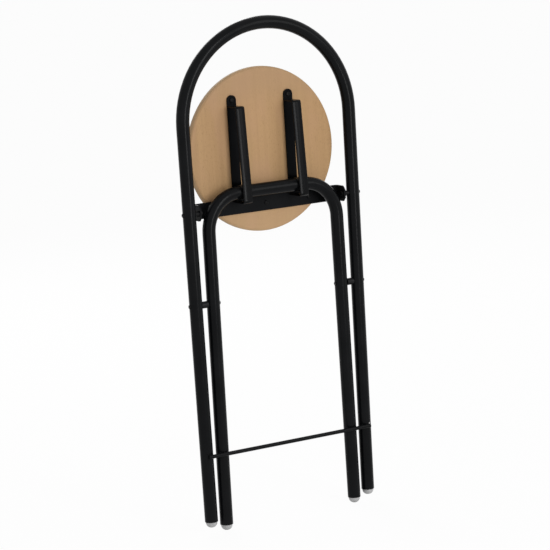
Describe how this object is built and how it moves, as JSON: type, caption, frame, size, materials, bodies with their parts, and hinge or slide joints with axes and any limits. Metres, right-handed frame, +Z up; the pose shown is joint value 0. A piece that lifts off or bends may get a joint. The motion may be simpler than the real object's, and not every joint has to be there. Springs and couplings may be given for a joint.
{
  "type": "folding stool",
  "caption": "Tall folding stool, folded flat: black steel tube frames, an arched outer one and a U-shaped inner one, round beech board seat on slide rails.",
  "frame": {"origin": "middle of the folded stool's box on the floor under the inner frame's feet", "axes": "+Z up along the folded stool, +X to the right in the picture, +Y from the tube frames toward the seat's sitting face"},
  "size_m": [0.3722, 0.0598, 0.9252],
  "materials": {
    "black_steel": "satin black powder coat",
    "beech": "clear satin lacquer",
    "foot_plastic": "pale grey plastic",
    "black_plastic": "matt black plastic",
    "dark_fastener": "black oxide"
  },
  "bodies": {
    "hoop": {"hoop_tube": "black_steel", "stretcher_rod": "black_steel", "hoop_foot_left": "foot_plastic", "hoop_foot_right": "foot_plastic", "fold_bolt_left": "dark_fastener", "fold_bolt_right": "dark_fastener", "fold_spacer_left": "black_plastic", "fold_spacer_right": "black_plastic", "fold_nut_left": "dark_fastener", "fold_nut_right": "dark_fastener", "seat_bolt_left": "dark_fastener", "seat_bolt_right": "dark_fastener", "seat_spacer_left": "dark_fastener", "seat_spacer_right": "dark_fastener"},
    "inner_frame": {"inner_tube": "black_steel", "inner_foot_left": "foot_plastic", "inner_foot_right": "foot_plastic"},
    "slide_sleeves": {"slide_sleeve_left": "black_plastic", "slide_sleeve_right": "black_plastic"},
    "seat": {"seat_board": "beech", "seat_crossbar": "black_steel", "slide_rail_left": "black_steel", "slide_rail_right": "black_steel", "rail_screw_left": "dark_fastener", "rail_screw_right": "dark_fastener", "seat_nut_left": "dark_fastener", "seat_nut_right": "dark_fastener", "crossbar_screw_left": "dark_fastener", "crossbar_screw_middle": "dark_fastener", "crossbar_screw_right": "dark_fastener"}
  },
  "joints": [
    {"name": "frame_fold", "type": "hinge", "parent": "hoop", "child": "inner_frame", "pos_m": [0, -0.0103, 0.4197], "axis": [1, 0, 0], "range_deg": [0, 54.65]},
    {"name": "seat_tilt", "type": "hinge", "parent": "inner_frame", "child": "slide_sleeves", "pos_m": [0, -0.0103, 0.6133], "axis": [1, 0, 0], "range_deg": [0, 57.21]},
    {"name": "seat_slide", "type": "slide", "parent": "slide_sleeves", "child": "seat", "axis": [0, -0.0672, -0.9977], "range_m": [0, 0.13842]}
  ],
  "couplings": [
    {"joint": "seat_tilt", "follows": "frame_fold", "ratio": 1.0466},
    {"joint": "seat_slide", "follows": "frame_fold", "m_per_rad": 0.14511}
  ]
}
